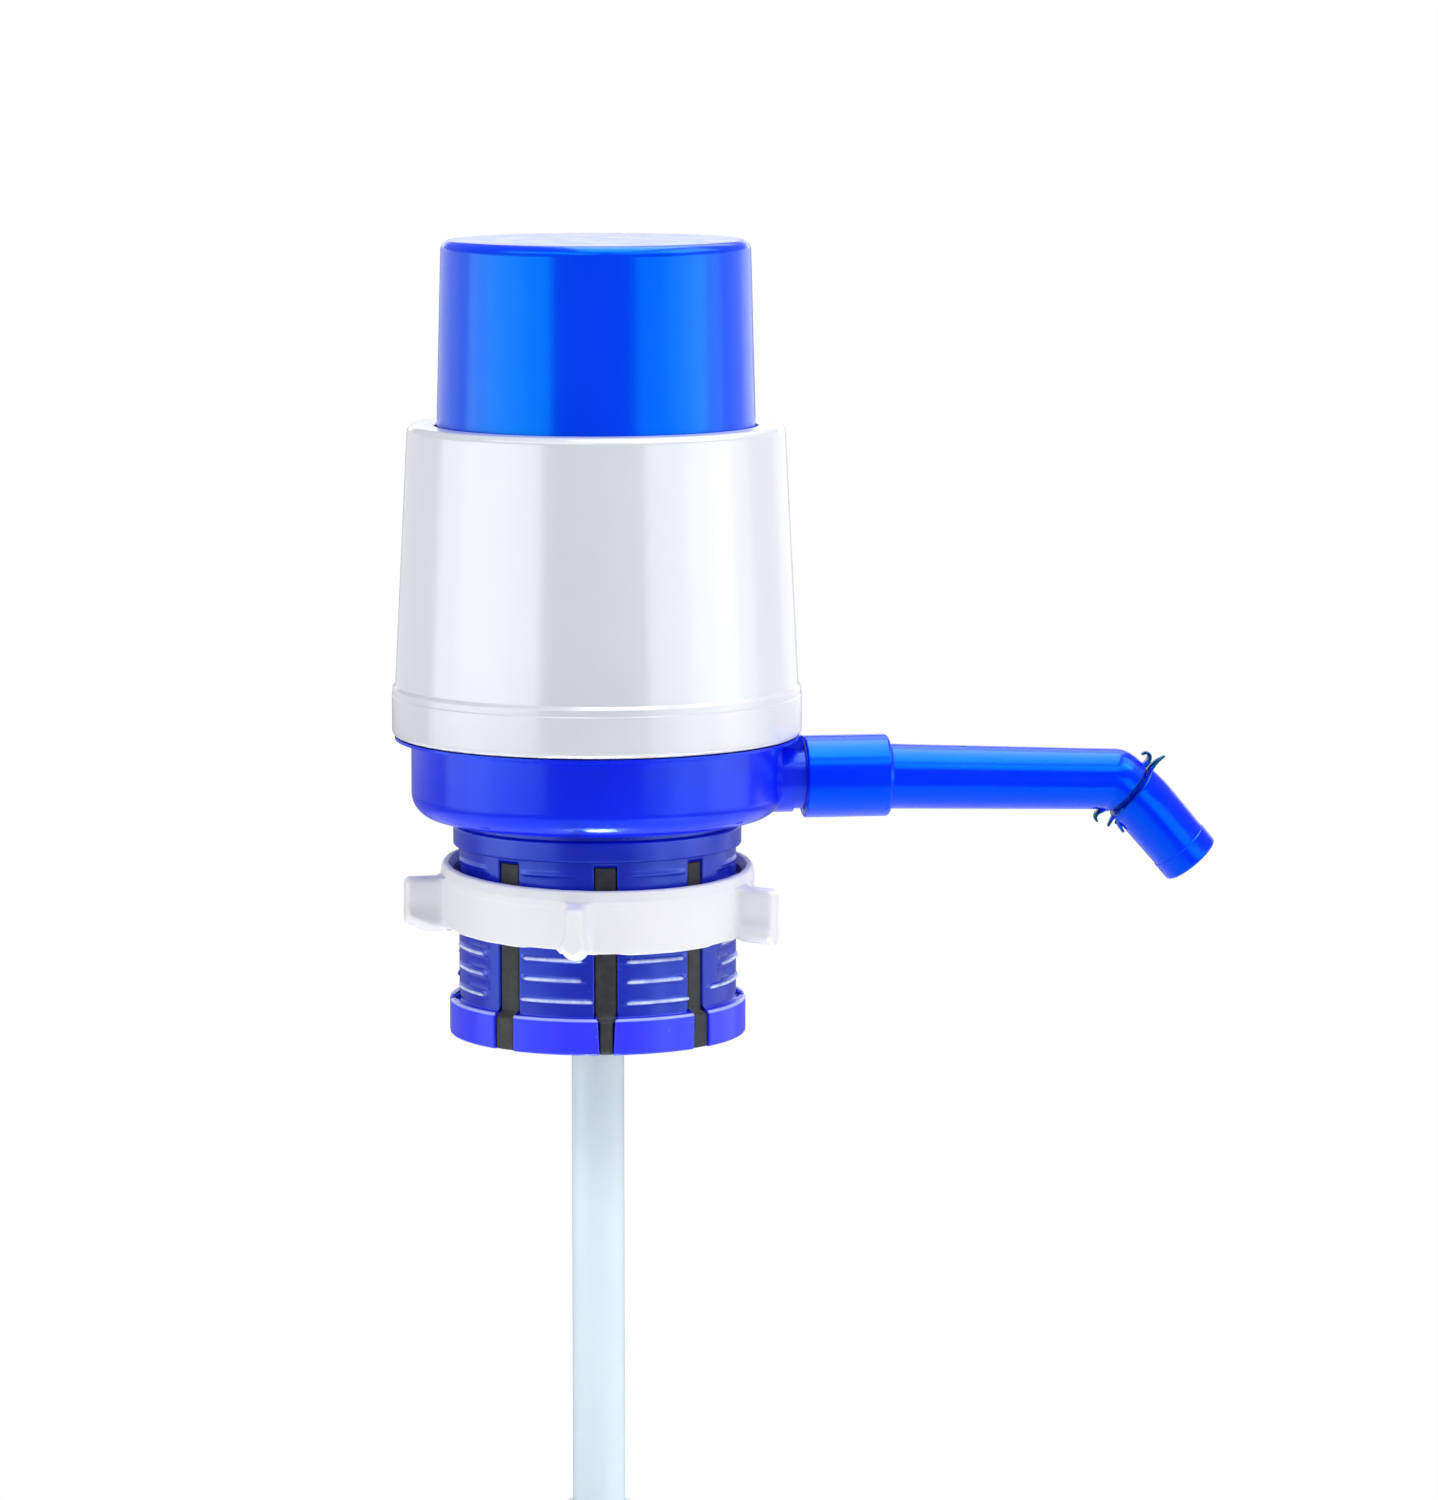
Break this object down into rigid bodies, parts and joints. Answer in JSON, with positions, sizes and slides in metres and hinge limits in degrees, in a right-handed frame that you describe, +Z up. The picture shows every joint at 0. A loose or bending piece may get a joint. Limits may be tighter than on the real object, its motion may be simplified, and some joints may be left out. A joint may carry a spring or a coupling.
{
  "type": "water jug hand pump",
  "caption": "Hand pump for a large water bottle: blue press cap in a white housing, slotted clamp collar, swivelling spout with a turned-down nozzle, and a dip tube.",
  "frame": {"origin": "on the pump's axis, in the plane of the gasket's underside that rests on the bottle's lip", "axes": "+Z up along the pump's axis towards the press cap; +X along the spout arm"},
  "size_m": [0.1898, 0.093, 0.585],
  "materials": {
    "cap_blue": "glossy moulded plastic",
    "housing_white": "glossy moulded plastic",
    "base_blue": "glossy moulded plastic",
    "claw_blue": "satin moulded plastic",
    "arm_blue": "glossy moulded plastic",
    "ring_white": "satin moulded plastic",
    "inner_white": "satin moulded plastic",
    "seal_rubber": "soft black rubber",
    "valve_rubber": "soft red silicone rubber",
    "bellows_plastic": "soft milky plastic",
    "spring_steel": "drawn stainless wire",
    "screw_steel": "zinc-plated steel",
    "tube_clear": "milky translucent tube",
    "sleeve_silicone": "milky silicone rubber"
  },
  "bodies": {
    "pump_body": {"outer_housing": "housing_white", "base_body": "base_blue", "collet_claw": "claw_blue", "neck_gasket": "seal_rubber", "neck_sleeve": "seal_rubber", "sleeve_bars": "seal_rubber", "valve_plate": "inner_white", "plate_seal": "seal_rubber", "bellows_clamp_ring": "inner_white", "plate_screws": "screw_steel", "bellows": "bellows_plastic", "return_spring": "spring_steel", "spout_o_ring": "seal_rubber", "dip_tube_upper": "tube_clear", "tube_connector_upper": "sleeve_silicone", "dip_tube_middle": "tube_clear", "tube_connector_lower": "sleeve_silicone", "dip_tube_lower": "tube_clear"},
    "cap": {"press_cap": "cap_blue", "bellows_top_disc": "inner_white", "cap_screws": "screw_steel"},
    "intake": {"intake_valve": "valve_rubber"},
    "discharge": {"discharge_valve": "valve_rubber"},
    "ring": {"clamp_ring": "ring_white"},
    "arm": {"spout_arm": "arm_blue"},
    "outlet": {"nozzle": "arm_blue"}
  },
  "joints": [
    {"name": "cap_press", "type": "slide", "parent": "pump_body", "child": "cap", "axis": [0, 0, -1], "range_m": [0, 0.038], "stiffness_N_per_m": 250, "springref_m": -0.02, "deforming": ["bellows", "return_spring"]},
    {"name": "intake_valve_lift", "type": "slide", "parent": "cap", "child": "intake", "axis": [0, 0, -1], "range_m": [0, 0.001]},
    {"name": "discharge_valve_lift", "type": "slide", "parent": "pump_body", "child": "discharge", "axis": [0, 0, -1], "range_m": [0, 0.001]},
    {"name": "clamp_ring_travel", "type": "slide", "parent": "pump_body", "child": "ring", "axis": [0, 0, -1], "range_m": [-0.0031, 0.0147]},
    {"name": "spout_swivel", "type": "hinge", "parent": "pump_body", "child": "arm", "pos_m": [0.056, 0, 0.0143], "axis": [1, 0, 0], "continuous": true},
    {"name": "nozzle_twist", "type": "hinge", "parent": "arm", "child": "outlet", "pos_m": [0.12308, 0, 0.0097], "axis": [0.7581, 0, -0.6521], "continuous": true}
  ]
}
